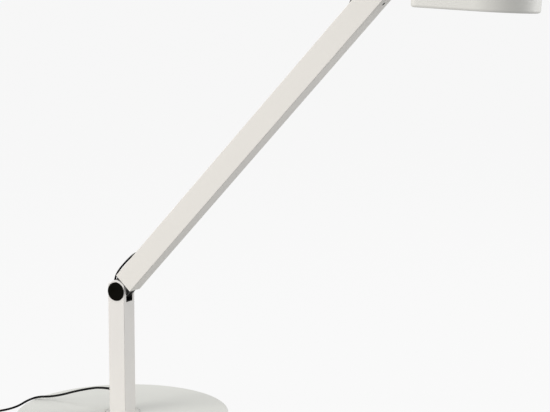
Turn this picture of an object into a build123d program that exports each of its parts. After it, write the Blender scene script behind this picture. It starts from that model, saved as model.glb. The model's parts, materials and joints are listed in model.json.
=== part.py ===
"""Adjustable arm lamp: round base, swivelling square post, one long arm and a D-shaped head.

Frame: millimetres, +Z up, origin at the centre of the base's underside.  The arm and the head
reach towards +X, and the supply cord leaves the post towards -X.
"""

import math
import os

from build123d import *

# ---- clearances ------------------------------------------------------------------------------
RUN_FIT = 0.05          # radial clearance of a shaft that turns, and of a screw in its thread
FACE_GAP = 0.05         # between faces that slide on each other
SLIP = 0.1              # clearance of a part that is pushed into place
HOLE_SLACK = 0.2        # clearance of a screw through a plain hole
WIRE_ROOM = 0.6         # radial room around a cable in its passage

# ---- base ------------------------------------------------------------------------------------
BASE_DIAMETER = 280.0
BASE_THICKNESS = 10.0
BASE_EDGE_RADIUS = 2.0
PAD_THICKNESS = 2.0
PAD_INSET = 3.0

# ---- swivel ----------------------------------------------------------------------------------
SWIVEL_DISC_DIAMETER = 45.0
SWIVEL_DISC_THICKNESS = 3.0
SWIVEL_SEAM = 0.8       # gap around the disc in the base plate
THRUST_THICKNESS = 0.5
THRUST_DIAMETER = 31.0
SPINDLE_DIAMETER = 16.0
SWIVEL_WEB = 2.6        # base plate left under the disc
BUSH_WALL = 2.0
BUSH_FLANGE_DIAMETER = 26.0
BUSH_FLANGE_THICKNESS = 0.6
WAVE_THICKNESS = 0.6
NUT_THICKNESS = 2.2
NUT_ACROSS = 24.0
NUT_POCKET_DIAMETER = 34.0
STOP_RADIUS = 18.0      # radius of the stop groove
STOP_PIN_DIAMETER = 3.0
STOP_DEPTH = 1.2
STOP_HALF_ANGLE = 5.0   # half the solid part of the stop groove
SPIGOT_HEIGHT = 22.0
FOOT_SCREW_LEVELS = (7.0, 15.0)     # above the base plate
FOOT_SCREW_DIAMETER = 4.0
FOOT_SCREW_LENGTH = 8.0

# ---- post, arm and neck sections -------------------------------------------------------------
POST_WIDTH = 25.0
POST_WALL = 2.0
TUBE_EDGE = 1.0
POST_PIVOT_HEIGHT = 164.0    # lower pivot above the base plate
ARM_WIDTH = 25.0
ARM_DEPTH = 29.0
ARM_WALL = 1.8
ARM_PIVOTS = 550.0           # lower pivot to upper pivot
ARM_ANGLE = 47.0             # arm above the horizontal

# ---- fork and tongue of both pivots ----------------------------------------------------------
CHEEK_ARC = 15.0             # radius of a cheek's end about the pivot
CHEEK_CORNER = 3.5
SLOT_WIDTH = 15.0
SLOT_DEPTH = 14.0            # slot below the pivot axis
FORK_SOLID = 12.0            # solid stretch under the slot
POCKET_DIAMETER = 18.4       # counterbore in each cheek
POCKET_DEPTH = 3.2
BOLT_DIAMETER = 6.0
BOLT_HEAD_DIAMETER = 16.0
BOLT_HEAD_THICKNESS = 2.0
BUSH_DIAMETER = 9.0
LINER_THICKNESS = 0.8
LINER_INSET = 0.3            # liner inside the cheek's outline
SPRING_DIAMETER = 16.0
SPRING_THICKNESS = 0.9
PIVOT_NUT_ACROSS = 10.0
PIVOT_NUT_THICKNESS = 2.0
CAP_DIAMETER = 24.5
CAP_THICKNESS = 1.0
CAP_RIM_DEPTH = 1.4
CAP_RIM_WALL = 0.8
TONGUE_RADIUS = 12.8
GROOVE_RADIUS = 9.0          # bottom of the lead's groove around the tongue
TUBE_END = 16.0              # end of the arm tube from the pivot axis
FLANGE_THICKNESS = 0.7       # tongue's flange over the tube's end
FLANGE_INSET = 0.3
PLUG_LENGTH = 34.0
END_SCREW_DIAMETER = 2.5
LOWER_SCREW_AT = 32.0        # screw of the lower tongue, from the lower pivot
UPPER_SCREW_AT = 25.0        # screw of the upper tongue, from the upper pivot

# ---- cables ----------------------------------------------------------------------------------
CORD_DIAMETER = 3.0
LEAD_DIAMETER = 2.6
PASSAGE_OFFSET = 9.6         # cable passage from the middle of the post or neck
CORD_EXIT_HEIGHT = 28.5      # supply cord above the base plate
GLAND_FLANGE_DIAMETER = 8.0
GLAND_FLANGE_THICKNESS = 1.2
GLAND_BODY_DIAMETER = 6.0
GLAND_TIP_DIAMETER = 4.4
GLAND_LENGTH = 8.0
LEAD_HOLE_AT = 56.0          # lead hole in the arm's top face, from the pivot
GROMMET_DIAMETER = 6.0
GROMMET_FLANGE_DIAMETER = 8.0
GROMMET_FLANGE_THICKNESS = 0.7

# ---- head ------------------------------------------------------------------------------------
HEAD_DROP = 3.0              # nose below the level
NECK_LENGTH = 49.0           # upper pivot to the head's back
HEAD_LENGTH = 133.0
HEAD_WIDTH = 110.0
HEAD_HEIGHT = 43.0
HEAD_TOP = 15.0              # top of the head above the neck's axis
HEAD_BACK_CORNER = 8.0
HEAD_TOP_EDGE = 1.2
HEAD_BOTTOM_EDGE = 3.0
HEAD_WALL = 3.2
LIP_WIDTH = 9.0              # rim around the light opening
LID_THICKNESS = 2.5
LID_REBATE = 1.4             # wall left beside the lid
DIFFUSER_THICKNESS = 2.5
FRAME_WALL = 1.5
FRAME_HEIGHT = 10.0
BOARD_THICKNESS = 1.6
SINK_THICKNESS = 3.0
FIN_HEIGHT = 8.0
FIN_THICKNESS = 1.6
FIN_COUNT = 9
FIN_PITCH = 8.0
FIN_START = 66.0             # first fin from the head's back
FIN_LENGTH = 44.0
LED_SIZE = 3.0
LED_HEIGHT = 0.8
LED_PITCH = 15.0
SCREW_BOSS_DIAMETER = 8.0
HEAD_SCREW_DIAMETER = 3.0
HEAD_SCREW_LENGTH = 12.0
HEAD_SCREW_HEAD = 5.6
HEAD_SCREW_HEAD_HEIGHT = 1.8
CONTROL_LENGTH = 46.0
CONTROL_WIDTH = 60.0
CONTROL_AT = 8.0             # control board from the head's back wall
CONTROL_LEVEL = 2.0          # control board's underside above the neck's axis
BUTTON_DIAMETER = 14.0
BUTTON_AT = 28.0             # button from the head's back
BUTTON_PROUD = 2.0
BUTTON_TRAVEL = 1.5
BUTTON_FLANGE_DIAMETER = 17.0
BUTTON_FLANGE_THICKNESS = 1.0
BUTTON_CLEARANCE = 0.25
SWITCH_SIZE = 6.0
SWITCH_HEIGHT = 3.6
SWITCH_PLUNGER = 0.8
SPRING_WIRE = 0.7
NECK_SCREW_DIAMETER = 4.0
NECK_SCREW_SPREAD = 12.0
NECK_SCREW_DROP = 4.0
NECK_SCREW_HEAD = 7.0
NECK_SCREW_HEAD_HEIGHT = 2.6
NECK_SCREW_GRIP = 11.8       # length of thread in the neck

# ---- plug-in driver --------------------------------------------------------------------------
DRIVER_LENGTH = 60.0
DRIVER_WIDTH = 40.0
DRIVER_HEIGHT = 27.0
DRIVER_EDGE = 4.0
SEAM_WIDTH = 0.5             # groove where the case's halves meet
SEAM_DEPTH = 0.5
PIN_DIAMETER = 4.0
PIN_LENGTH = 19.0
PIN_SPREAD = 19.0
RELIEF_LENGTH = 14.0
RELIEF_BIG_DIAMETER = 7.0
RELIEF_TIP_DIAMETER = 4.4

# ---- supply cord: route of its centre line, coil and tail ------------------------------------
CORD_ROUTE = [
    (-20.5, 0.0, 40.5),
    (-36.0, 0.0, 40.2),
    (-54.0, 0.0, 36.0),
    (-75.0, -0.5, 30.0),
    (-97.0, 0.0, 22.2),
    (-117.0, -1.0, 17.0),
    (-133.0, -5.5, 16.2),
    (-146.5, -11.0, 10.8),
    (-156.0, -19.5, 3.6),
    (-161.5, -31.0, 1.6),
    (-166.5, -44.0, 1.6),
    (-174.5, -57.0, 1.6),
    (-184.0, -70.5, 1.6),
    (-191.5, -86.0, 1.6),
    (-195.3, -104.5, 2.3),
]
COIL_CENTRE = (-216.0, -106.0)
COIL_RADII = (15.0, 18.0, 21.0)
COIL_LAYERS = 4
TAIL_ROUTE = [
    (-219.6, -126.7, 14.3),
    (-231.0, -125.6, 14.4),
    (-242.5, -126.6, 12.0),
    (-253.0, -128.6, 11.8),
    (-264.0, -130.0, 13.5),
]
TAIL_END_DIRECTION = (-1.0, 0.0, 0.0)
TIE_WIDTH = 8.0
TIE_THICKNESS = 0.8          # the coil lies on the tie's lower run
TIE_ROOM = 0.3

# ---- places worked out from the sizes above --------------------------------------------------
PLATE_TOP = PAD_THICKNESS + BASE_THICKNESS
RECESS_FLOOR = PLATE_TOP - SWIVEL_DISC_THICKNESS - THRUST_THICKNESS
POCKET_CEILING = RECESS_FLOOR - SWIVEL_WEB
NUT_BOTTOM = POCKET_CEILING - BUSH_FLANGE_THICKNESS - FACE_GAP - WAVE_THICKNESS - NUT_THICKNESS
FOOT_SCREW_HEIGHTS = [PLATE_TOP + level for level in FOOT_SCREW_LEVELS]
PIVOT_HEIGHT = PLATE_TOP + POST_PIVOT_HEIGHT
CHEEK_FACE = POST_WIDTH / 2
POCKET_FLOOR = CHEEK_FACE - POCKET_DEPTH
TONGUE_THICKNESS = SLOT_WIDTH - 2 * LINER_THICKNESS - 2 * FACE_GAP
FORK_FRAME = Location((0, 0, PIVOT_HEIGHT))
ARM_FRAME = Location((0, 0, PIVOT_HEIGHT), (0, -ARM_ANGLE, 0))
UPPER_PIVOT = ARM_FRAME * Location((ARM_PIVOTS, 0, 0))
HEAD_FRAME = Location(UPPER_PIVOT.position, (0, HEAD_DROP, 0))
NECK_TURN = Location((0, 0, 0), (0, -90, 0))    # a fork that points down, turned to point at +X
HEAD_BOTTOM = HEAD_TOP - HEAD_HEIGHT
LID_SEAT = HEAD_TOP - LID_THICKNESS
LIP_TOP = HEAD_BOTTOM + HEAD_WALL
FRAME_TOP = LIP_TOP + DIFFUSER_THICKNESS + FRAME_HEIGHT
SINK_TOP = FRAME_TOP + BOARD_THICKNESS + SINK_THICKNESS
BUTTON_PLACE = NECK_LENGTH + BUTTON_AT
CONTROL_TOP = CONTROL_LEVEL + BOARD_THICKNESS
SWITCH_TOP = CONTROL_TOP + SWITCH_HEIGHT
BUTTON_SOLE = SWITCH_TOP + BUTTON_TRAVEL + 0.4

UP = (0, 0, 1)
ALONG_Y = (0, 1, 0)
ALONG_X = (1, 0, 0)


# ---- small helpers ---------------------------------------------------------------------------
def rod(diameter, length, start, axis=UP):
    """Cylinder from start along axis."""
    base = (Align.CENTER, Align.CENTER, Align.MIN)
    return Plane(origin=start, z_dir=axis) * Cylinder(diameter / 2, length, align=base)


def washer(outer, inner, thickness, start, axis=UP):
    """Flat ring from start along axis."""
    return rod(outer, thickness, start, axis) - rod(inner, thickness, start, axis)


def taper(big, small, length, start, axis=UP):
    """Cone from start along axis, from the big diameter to the small one."""
    base = (Align.CENTER, Align.CENTER, Align.MIN)
    return Plane(origin=start, z_dir=axis) * Cone(big / 2, small / 2, length, align=base)


def block(low, high):
    """Box between two corners."""
    size = [b - a for a, b in zip(low, high)]
    return Pos(*low) * Box(*size, align=(Align.MIN, Align.MIN, Align.MIN))


def hexagon(across, bore, thickness, start, axis=UP):
    """Hexagon nut from start along axis."""
    outline = RegularPolygon(across / math.sqrt(3), 6) - Circle(bore / 2)
    return Plane(origin=start, z_dir=axis) * extrude(outline, thickness)


def countersunk(diameter, length, start, axis):
    """Countersunk screw, its flat head at start, driven along axis."""
    head = taper(1.8 * diameter, diameter, 0.4 * diameter, start, axis)
    socket = Plane(origin=start, z_dir=axis) * extrude(RegularPolygon(0.3 * diameter, 6), 1.2)
    return head + rod(diameter, length, start, axis) - socket


def countersink(diameter, slack, start, axis):
    """Hole for a countersunk screw's head."""
    return taper(1.8 * diameter + 2 * slack, diameter + 2 * slack, 0.4 * diameter + slack, start, axis)


def corner_radii(points):
    """Largest arc that each corner of a route has room for."""
    radii = []
    for a, b, c in zip(points, points[1:], points[2:]):
        first, second = Vector(*b) - Vector(*a), Vector(*c) - Vector(*b)
        half_turn = math.radians(first.get_angle(second)) / 2
        radii.append(0.45 * min(first.length, second.length) / math.tan(half_turn))
    return radii


def cable(points, diameter, name):
    """Tube of straight runs joined by tangent arcs, with its tightest bend printed."""
    radii = corner_radii(points)
    path = FilletPolyline(*points, radius=radii)
    tube = sweep(Plane(origin=path @ 0, z_dir=path % 0) * Circle(diameter / 2), path=path)
    ideal = math.pi / 4 * diameter**2 * path.length
    print(f"{name}: length {path.length:.1f}, radii {[round(r, 1) for r in radii]}, "
          f"volume over section x length {tube.volume / ideal:.4f}")
    return tube


def in_frame(frame, points):
    """Points (along, up) of a frame's own XZ plane, as points of the whole lamp."""
    return [tuple((frame * Location((x, 0, z))).position) for x, z in points]


# ---- base ------------------------------------------------------------------------------------
def base_plate():
    """Heavy steel disc with the recess and the bore of the swivel."""
    plate = rod(BASE_DIAMETER, BASE_THICKNESS, (0, 0, PAD_THICKNESS))
    rims = plate.edges().filter_by(GeomType.CIRCLE).sort_by(Axis.Z)
    plate = fillet(rims[-1], BASE_EDGE_RADIUS)
    plate = chamfer(plate.edges().filter_by(GeomType.CIRCLE).sort_by(Axis.Z)[0], 0.5)
    recess = SWIVEL_DISC_DIAMETER + 2 * SWIVEL_SEAM
    plate -= rod(recess, PLATE_TOP - RECESS_FLOOR, (0, 0, RECESS_FLOOR))
    plate -= rod(SPINDLE_DIAMETER + 2 * BUSH_WALL, BASE_THICKNESS, (0, 0, PAD_THICKNESS))
    plate -= rod(NUT_POCKET_DIAMETER, POCKET_CEILING - PAD_THICKNESS, (0, 0, PAD_THICKNESS))
    groove_width = STOP_PIN_DIAMETER + 0.6
    groove = washer(2 * STOP_RADIUS + groove_width, 2 * STOP_RADIUS - groove_width, STOP_DEPTH,
                    (0, 0, RECESS_FLOOR - STOP_DEPTH))
    reach = STOP_RADIUS + groove_width
    half = reach * math.tan(math.radians(STOP_HALF_ANGLE))
    stop = Polygon((0, 0), (reach, -half), (reach, half), align=None)
    groove -= Pos(0, 0, RECESS_FLOOR - STOP_DEPTH) * extrude(stop, STOP_DEPTH)
    return plate - groove


def base_pad():
    """Soft pad under the base plate."""
    return rod(BASE_DIAMETER - 2 * PAD_INSET, PAD_THICKNESS, (0, 0, 0))


def swivel_bush():
    """Flanged bush that lines the base plate's bore."""
    outer = SPINDLE_DIAMETER + 2 * BUSH_WALL
    bush = rod(outer, SWIVEL_WEB, (0, 0, POCKET_CEILING))
    bush += rod(BUSH_FLANGE_DIAMETER, BUSH_FLANGE_THICKNESS,
                (0, 0, POCKET_CEILING - BUSH_FLANGE_THICKNESS))
    return bush - rod(SPINDLE_DIAMETER + 2 * RUN_FIT, 20, (0, 0, 0))


def thrust_washer():
    """Plastic washer that carries the turning disc."""
    return washer(THRUST_DIAMETER, SPINDLE_DIAMETER + 1, THRUST_THICKNESS - FACE_GAP,
                  (0, 0, RECESS_FLOOR))


# ---- swivel foot and its fasteners -----------------------------------------------------------
def swivel_foot():
    """Disc flush with the base, the spindle below it and the square spigot in the post."""
    disc_bottom = PLATE_TOP - SWIVEL_DISC_THICKNESS
    foot = rod(SWIVEL_DISC_DIAMETER, SWIVEL_DISC_THICKNESS, (0, 0, disc_bottom))
    foot += rod(SPINDLE_DIAMETER, disc_bottom - NUT_BOTTOM, (0, 0, NUT_BOTTOM))
    side = (POST_WIDTH - 2 * POST_WALL) / 2 - SLIP
    foot += block((-side, -side, PLATE_TOP), (side, side, PLATE_TOP + SPIGOT_HEIGHT))
    foot -= rod(STOP_PIN_DIAMETER, 2, (-STOP_RADIUS, 0, disc_bottom))
    for height in FOOT_SCREW_HEIGHTS:
        foot -= rod(FOOT_SCREW_DIAMETER + 2 * RUN_FIT, FOOT_SCREW_LENGTH + 1,
                    (-CHEEK_FACE, 0, height), ALONG_X)
    return foot


def swivel_stop_pin():
    """Pin that runs in the stop groove."""
    bottom = RECESS_FLOOR - STOP_DEPTH + 0.3
    top = PLATE_TOP - SWIVEL_DISC_THICKNESS + 2
    return rod(STOP_PIN_DIAMETER, top - bottom, (-STOP_RADIUS, 0, bottom))


def swivel_wave_washer():
    """Spring washer that sets the swivel's drag."""
    return washer(BUSH_FLANGE_DIAMETER - 1, SPINDLE_DIAMETER + 2 * RUN_FIT, WAVE_THICKNESS,
                  (0, 0, NUT_BOTTOM + NUT_THICKNESS))


def swivel_nut():
    """Thin lock nut on the spindle."""
    return hexagon(NUT_ACROSS, SPINDLE_DIAMETER + 2 * RUN_FIT, NUT_THICKNESS, (0, 0, NUT_BOTTOM))


def foot_screws():
    """Two countersunk screws that hold the post on the spigot."""
    return [countersunk(FOOT_SCREW_DIAMETER, FOOT_SCREW_LENGTH, (-CHEEK_FACE, 0, height), ALONG_X)
            for height in FOOT_SCREW_HEIGHTS]


# ---- forks: the post's top and the head's neck -----------------------------------------------
def fork_side(length, width, inset=0.0):
    """Bar of that width that hangs down from its pivot at the origin, its top rounded."""
    half, arc = POST_WIDTH / 2 - inset, CHEEK_ARC - inset
    shoulder = math.sqrt(arc**2 - half**2)
    side = Polyline((-half, shoulder), (-half, -length), (half, -length), (half, shoulder))
    crown = ThreePointArc((half, shoulder), (0, arc), (-half, shoulder))
    outline = make_face(side + crown)
    outline = fillet(outline.vertices().filter_by(lambda v: v.Y > 0), CHEEK_CORNER)
    return extrude(Plane(origin=(0, width / 2, 0), x_dir=ALONG_X, z_dir=(0, -1, 0)) * outline, width)


def fork_bar(length, cable_side, cavity):
    """Square bar below its pivot at the origin, forked at the pivot."""
    half = POST_WIDTH / 2
    bar = fork_side(length, POST_WIDTH)
    long_edges = bar.edges().filter_by(
        lambda e: abs(abs(e.center().Y) - half) < 1e-6 and e.center().Z > -length + 1e-3)
    bar = fillet(long_edges, TUBE_EDGE)
    slot = SLOT_WIDTH / 2
    bar -= block((-2 * half, -slot, -SLOT_DEPTH), (2 * half, slot, 2 * half))
    if cavity:
        inner = half - POST_WALL
        bar -= block((-inner, -inner, -length), (inner, inner, -SLOT_DEPTH - FORK_SOLID))
    passage = LEAD_DIAMETER + 2 * WIRE_ROOM
    bar -= rod(passage, length, (cable_side * PASSAGE_OFFSET, 0, -length))
    bar -= rod(BOLT_DIAMETER + HOLE_SLACK, 2 * half, (0, -half, 0), ALONG_Y)
    for end in (-1, 1):
        bar -= rod(POCKET_DIAMETER, POCKET_DEPTH, (0, end * half, 0), (0, -end, 0))
    return bar


def fork_liner(cable_side):
    """Black U-shaped lining of the slot, on which the tongue rubs."""
    liner = fork_side(SLOT_DEPTH, SLOT_WIDTH, LINER_INSET)
    inner = SLOT_WIDTH / 2 - LINER_THICKNESS
    floor = LINER_THICKNESS - SLOT_DEPTH
    liner -= block((-POST_WIDTH, -inner, floor), (POST_WIDTH, inner, POST_WIDTH))
    liner -= rod(BOLT_DIAMETER + HOLE_SLACK, SLOT_WIDTH, (0, -SLOT_WIDTH / 2, 0), ALONG_Y)
    passage = LEAD_DIAMETER + 2 * WIRE_ROOM
    return liner - rod(passage, SLOT_DEPTH, (cable_side * PASSAGE_OFFSET, 0, floor - SLOT_DEPTH))


def post_tube():
    """Square post, open below, with the cord's hole and the foot screws' holes at its back."""
    post = FORK_FRAME * fork_bar(POST_PIVOT_HEIGHT, -1, True)
    post -= rod(GLAND_BODY_DIAMETER + SLIP, 2 * POST_WALL,
                (-CHEEK_FACE - 1, 0, PLATE_TOP + CORD_EXIT_HEIGHT), ALONG_X)
    for height in FOOT_SCREW_HEIGHTS:
        start = (-CHEEK_FACE, 0, height)
        post -= countersink(FOOT_SCREW_DIAMETER, RUN_FIT, start, ALONG_X)
        post -= rod(FOOT_SCREW_DIAMETER + 2 * RUN_FIT, 2 * POST_WALL, start, ALONG_X)
    return post


def pivot_hardware(prefix, frame):
    """Bolt, disc spring, nut and caps of one pivot, in its fork's frame."""
    bolt = rod(BOLT_HEAD_DIAMETER, BOLT_HEAD_THICKNESS, (0, -POCKET_FLOOR, 0), (0, -1, 0))
    nut_start = POCKET_FLOOR + SPRING_THICKNESS
    bolt += rod(BOLT_DIAMETER, POCKET_FLOOR + nut_start + PIVOT_NUT_THICKNESS, (0, -POCKET_FLOOR, 0),
                ALONG_Y)
    drive = RegularPolygon(BOLT_DIAMETER / 2, 6)
    top = -POCKET_FLOOR - BOLT_HEAD_THICKNESS
    bolt -= Plane(origin=(0, top, 0), z_dir=ALONG_Y) * extrude(drive, 1.4)
    hardware = {"pivot_bolt": bolt}
    hardware["pivot_nut"] = hexagon(PIVOT_NUT_ACROSS, BOLT_DIAMETER + 2 * RUN_FIT,
                                    PIVOT_NUT_THICKNESS, (0, nut_start, 0), ALONG_Y)
    hardware["disc_spring"] = washer(SPRING_DIAMETER, BOLT_DIAMETER + HOLE_SLACK, SPRING_THICKNESS,
                                     (0, POCKET_FLOOR, 0), ALONG_Y)
    for side, name in ((-1, "front"), (1, "rear")):
        out = (0, side, 0)
        cap = rod(CAP_DIAMETER, CAP_THICKNESS, (0, side * CHEEK_FACE, 0), out)
        cap = chamfer(cap.edges().filter_by(GeomType.CIRCLE).sort_by(Axis.Y)[-1 if side > 0 else 0],
                      0.3)
        rim = POCKET_DIAMETER - 2 * SLIP
        cap += washer(rim, rim - 2 * CAP_RIM_WALL, CAP_RIM_DEPTH, (0, side * CHEEK_FACE, 0),
                      (0, -side, 0))
        hardware[f"cap_{name}"] = cap
    return {f"{prefix}_{name}": moved(frame, shape) for name, shape in hardware.items()}


def moved(frame, shape):
    """One shape, or a list of them, placed in a frame."""
    if isinstance(shape, list):
        return [frame * one for one in shape]
    return frame * shape


# ---- arm, in a frame whose X runs along it from the lower pivot ------------------------------
def arm_tube():
    """Rectangular tube with the lead holes in its top face and the end screws' holes."""
    length = ARM_PIVOTS - 2 * TUBE_END
    half_y, half_z = ARM_WIDTH / 2, ARM_DEPTH / 2
    tube = block((TUBE_END, -half_y, -half_z), (TUBE_END + length, half_y, half_z))
    tube = fillet(tube.edges().filter_by(Axis.X), TUBE_EDGE)
    tube -= block((0, ARM_WALL - half_y, ARM_WALL - half_z), (ARM_PIVOTS, half_y - ARM_WALL,
                                                                 half_z - ARM_WALL))
    for along in (LEAD_HOLE_AT, ARM_PIVOTS - LEAD_HOLE_AT):
        tube -= rod(GROMMET_DIAMETER + SLIP, 2 * ARM_WALL, (along, 0, half_z - 1.5 * ARM_WALL))
    for start, axis in end_screw_places():
        tube -= countersink(END_SCREW_DIAMETER, RUN_FIT, start, axis)
        tube -= rod(END_SCREW_DIAMETER + 2 * RUN_FIT, 2 * ARM_WALL, start, axis)
    return tube


def end_screw_places():
    """Head and direction of the screws that hold the two tongues, top then underside."""
    half = ARM_DEPTH / 2
    return [((LOWER_SCREW_AT, 0, half), (0, 0, -1)),
            ((ARM_PIVOTS - UPPER_SCREW_AT, 0, -half), (0, 0, 1))]


def arm_end_screws():
    """Two countersunk screws."""
    return [countersunk(END_SCREW_DIAMETER, 9, start, axis) for start, axis in end_screw_places()]


def round_plate(radius, thickness):
    """Plate from the tube's end towards the pivot at the origin, and round about it."""
    plate = block((0, -thickness / 2, -radius), (TUBE_END, thickness / 2, radius))
    return plate + rod(2 * radius, thickness, (0, -thickness / 2, 0), ALONG_Y)


def tongue(screw_at, screw_side):
    """Plug and flange of the arm tube's end, and the grooved tongue between the cheeks."""
    half_y = ARM_WIDTH / 2 - ARM_WALL - SLIP
    half_z = ARM_DEPTH / 2 - ARM_WALL - SLIP
    groove = LEAD_DIAMETER + 2 * WIRE_ROOM
    piece = round_plate(TONGUE_RADIUS, TONGUE_THICKNESS) - round_plate(TONGUE_RADIUS + 1, groove)
    piece += round_plate(GROOVE_RADIUS, groove)
    piece += block((TUBE_END, -half_y, -half_z), (TUBE_END + PLUG_LENGTH, half_y, half_z))
    flange_y, flange_z = ARM_WIDTH / 2 - FLANGE_INSET, ARM_DEPTH / 2 - FLANGE_INSET
    piece += block((TUBE_END - FLANGE_THICKNESS, -flange_y, -flange_z), (TUBE_END, flange_y, flange_z))
    piece -= rod(BUSH_DIAMETER, TONGUE_THICKNESS, (0, -TONGUE_THICKNESS / 2, 0), ALONG_Y)
    piece -= rod(END_SCREW_DIAMETER + 2 * RUN_FIT, 12, (screw_at, 0, screw_side * ARM_DEPTH / 2),
                 (0, 0, -screw_side))
    return piece


def pivot_bush():
    """Plain bearing in the tongue."""
    return washer(BUSH_DIAMETER, BOLT_DIAMETER + 2 * RUN_FIT, TONGUE_THICKNESS,
                  (0, -TONGUE_THICKNESS / 2, 0), ALONG_Y)


def arm_grommets():
    """Grommets of the two lead holes, closed around the lead."""
    top = ARM_DEPTH / 2
    pieces = []
    for along in (LEAD_HOLE_AT, ARM_PIVOTS - LEAD_HOLE_AT):
        grommet = rod(GROMMET_FLANGE_DIAMETER, GROMMET_FLANGE_THICKNESS, (along, 0, top))
        grommet += rod(GROMMET_DIAMETER, ARM_WALL + 0.8, (along, 0, top - ARM_WALL - 0.8))
        pieces.append(grommet)
    return pieces


# ---- leads: points (along, up) in the frames of the pivots -----------------------------------
LEAD_IN_FORK = [(-9.6, -13.6), (-10.8, -4.5), (-10.6, 6.5)]      # post's own frame
LEAD_OVER_ARM = [(7.4, 18.5), (18.5, 20.3), (29.5, 20.4), (40.5, 19.9), (49.5, 18.7), (55.0, 16.9)]


def lower_lead():
    """Loose lead from the post's slot to the arm's top face."""
    points = in_frame(FORK_FRAME, LEAD_IN_FORK) + in_frame(ARM_FRAME, LEAD_OVER_ARM)
    return cable(points, LEAD_DIAMETER, "lower lead")


def upper_lead():
    """Loose lead from the arm's top face to the neck's slot, the lower one mirrored."""
    neck = in_frame(HEAD_FRAME, [(-up, -along) for along, up in LEAD_IN_FORK])
    arm = in_frame(ARM_FRAME, [(ARM_PIVOTS - along, up) for along, up in LEAD_OVER_ARM])
    return cable(neck + arm, LEAD_DIAMETER, "upper lead")


def arm_lead():
    """Lead inside the arm tube, from grommet to grommet."""
    entry = ARM_DEPTH / 2 - ARM_WALL - 0.8
    low = -6.0
    half = [(LEAD_HOLE_AT, entry), (LEAD_HOLE_AT + 2, 5.0), (LEAD_HOLE_AT + 16, low)]
    back = [(ARM_PIVOTS - along, up) for along, up in reversed(half)]
    return cable(in_frame(ARM_FRAME, half + back), LEAD_DIAMETER, "arm lead")


def post_lead():
    """Lead inside the post, from the cord's gland to the slot."""
    height = CORD_EXIT_HEIGHT - POST_PIVOT_HEIGHT
    start = -CHEEK_FACE + POST_WALL + 1
    points = [(start, height), (0.0, height + 1), (3.0, height + 18), (-8.0, height + 70),
              (-PASSAGE_OFFSET, height + 100), (-PASSAGE_OFFSET, -SLOT_DEPTH + 0.4)]
    return cable(in_frame(FORK_FRAME, points), LEAD_DIAMETER, "post lead")


def head_lead():
    """Lead through the neck to the control board."""
    board = CONTROL_TOP + LEAD_DIAMETER / 2 + 0.2
    inside = NECK_LENGTH + HEAD_WALL
    points = [(SLOT_DEPTH - 0.4, PASSAGE_OFFSET), (inside + 2, PASSAGE_OFFSET),
              (inside + 9, board + 0.4), (inside + 15, board)]
    return cable(in_frame(HEAD_FRAME, points), LEAD_DIAMETER, "head lead")


def cord_gland():
    """Tapered strain relief in the post's back."""
    height = PLATE_TOP + CORD_EXIT_HEIGHT
    face = -CHEEK_FACE
    gland = rod(GLAND_FLANGE_DIAMETER, GLAND_FLANGE_THICKNESS, (face, 0, height), (-1, 0, 0))
    gland += taper(GLAND_BODY_DIAMETER, GLAND_TIP_DIAMETER, GLAND_LENGTH, (face, 0, height),
                   (-1, 0, 0))
    gland += rod(GLAND_BODY_DIAMETER, POST_WALL + 1, (face, 0, height), ALONG_X)
    return gland


# ---- head, in a frame whose X runs from the upper pivot to the nose --------------------------
def head_plan(inset):
    """D-shaped plan of the head, drawn in by an inset: straight back and sides, round nose."""
    back = NECK_LENGTH + inset
    half = HEAD_WIDTH / 2 - inset
    centre = NECK_LENGTH + HEAD_LENGTH - HEAD_WIDTH / 2
    sides = Polyline((centre, -half), (back, -half), (back, half), (centre, half))
    nose = ThreePointArc((centre, half), (centre + half, 0), (centre, -half))
    outline = make_face(sides + nose)
    corners = outline.vertices().filter_by(lambda v: v.X < back + 1e-6)
    return fillet(corners, max(HEAD_BACK_CORNER - inset, 1.0))


def slab(inset, bottom, top):
    """The head's plan as a solid between two heights."""
    return Pos(0, 0, bottom) * extrude(head_plan(inset), top - bottom)


BOSS_PLACES = [(NECK_LENGTH + 62, -40.0), (NECK_LENGTH + 62, 40.0),
               (NECK_LENGTH + 112, -14.0), (NECK_LENGTH + 112, 14.0)]
NECK_SCREW_PLACES = [(-NECK_SCREW_SPREAD / 2, -NECK_SCREW_DROP),
                     (NECK_SCREW_SPREAD / 2, -NECK_SCREW_DROP)]


def head_shell():
    """Side wall with the rounded rim around the light opening."""
    shell = slab(0, HEAD_BOTTOM, HEAD_TOP)
    shell = fillet(shell.faces().sort_by(Axis.Z)[0].edges(), HEAD_BOTTOM_EDGE)
    shell = fillet(shell.faces().sort_by(Axis.Z)[-1].edges(), HEAD_TOP_EDGE / 2)
    shell -= slab(HEAD_WALL, LIP_TOP, HEAD_TOP)
    shell -= slab(LID_REBATE, LID_SEAT, HEAD_TOP)
    shell -= slab(LIP_WIDTH, HEAD_BOTTOM, LIP_TOP)
    shell -= rod(LEAD_DIAMETER + 2 * WIRE_ROOM, 2 * HEAD_WALL, (NECK_LENGTH - 1, 0, PASSAGE_OFFSET),
                 ALONG_X)
    for y, z in NECK_SCREW_PLACES:
        shell -= rod(NECK_SCREW_DIAMETER + HOLE_SLACK, 2 * HEAD_WALL, (NECK_LENGTH - 1, y, z),
                     ALONG_X)
    return shell


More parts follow.
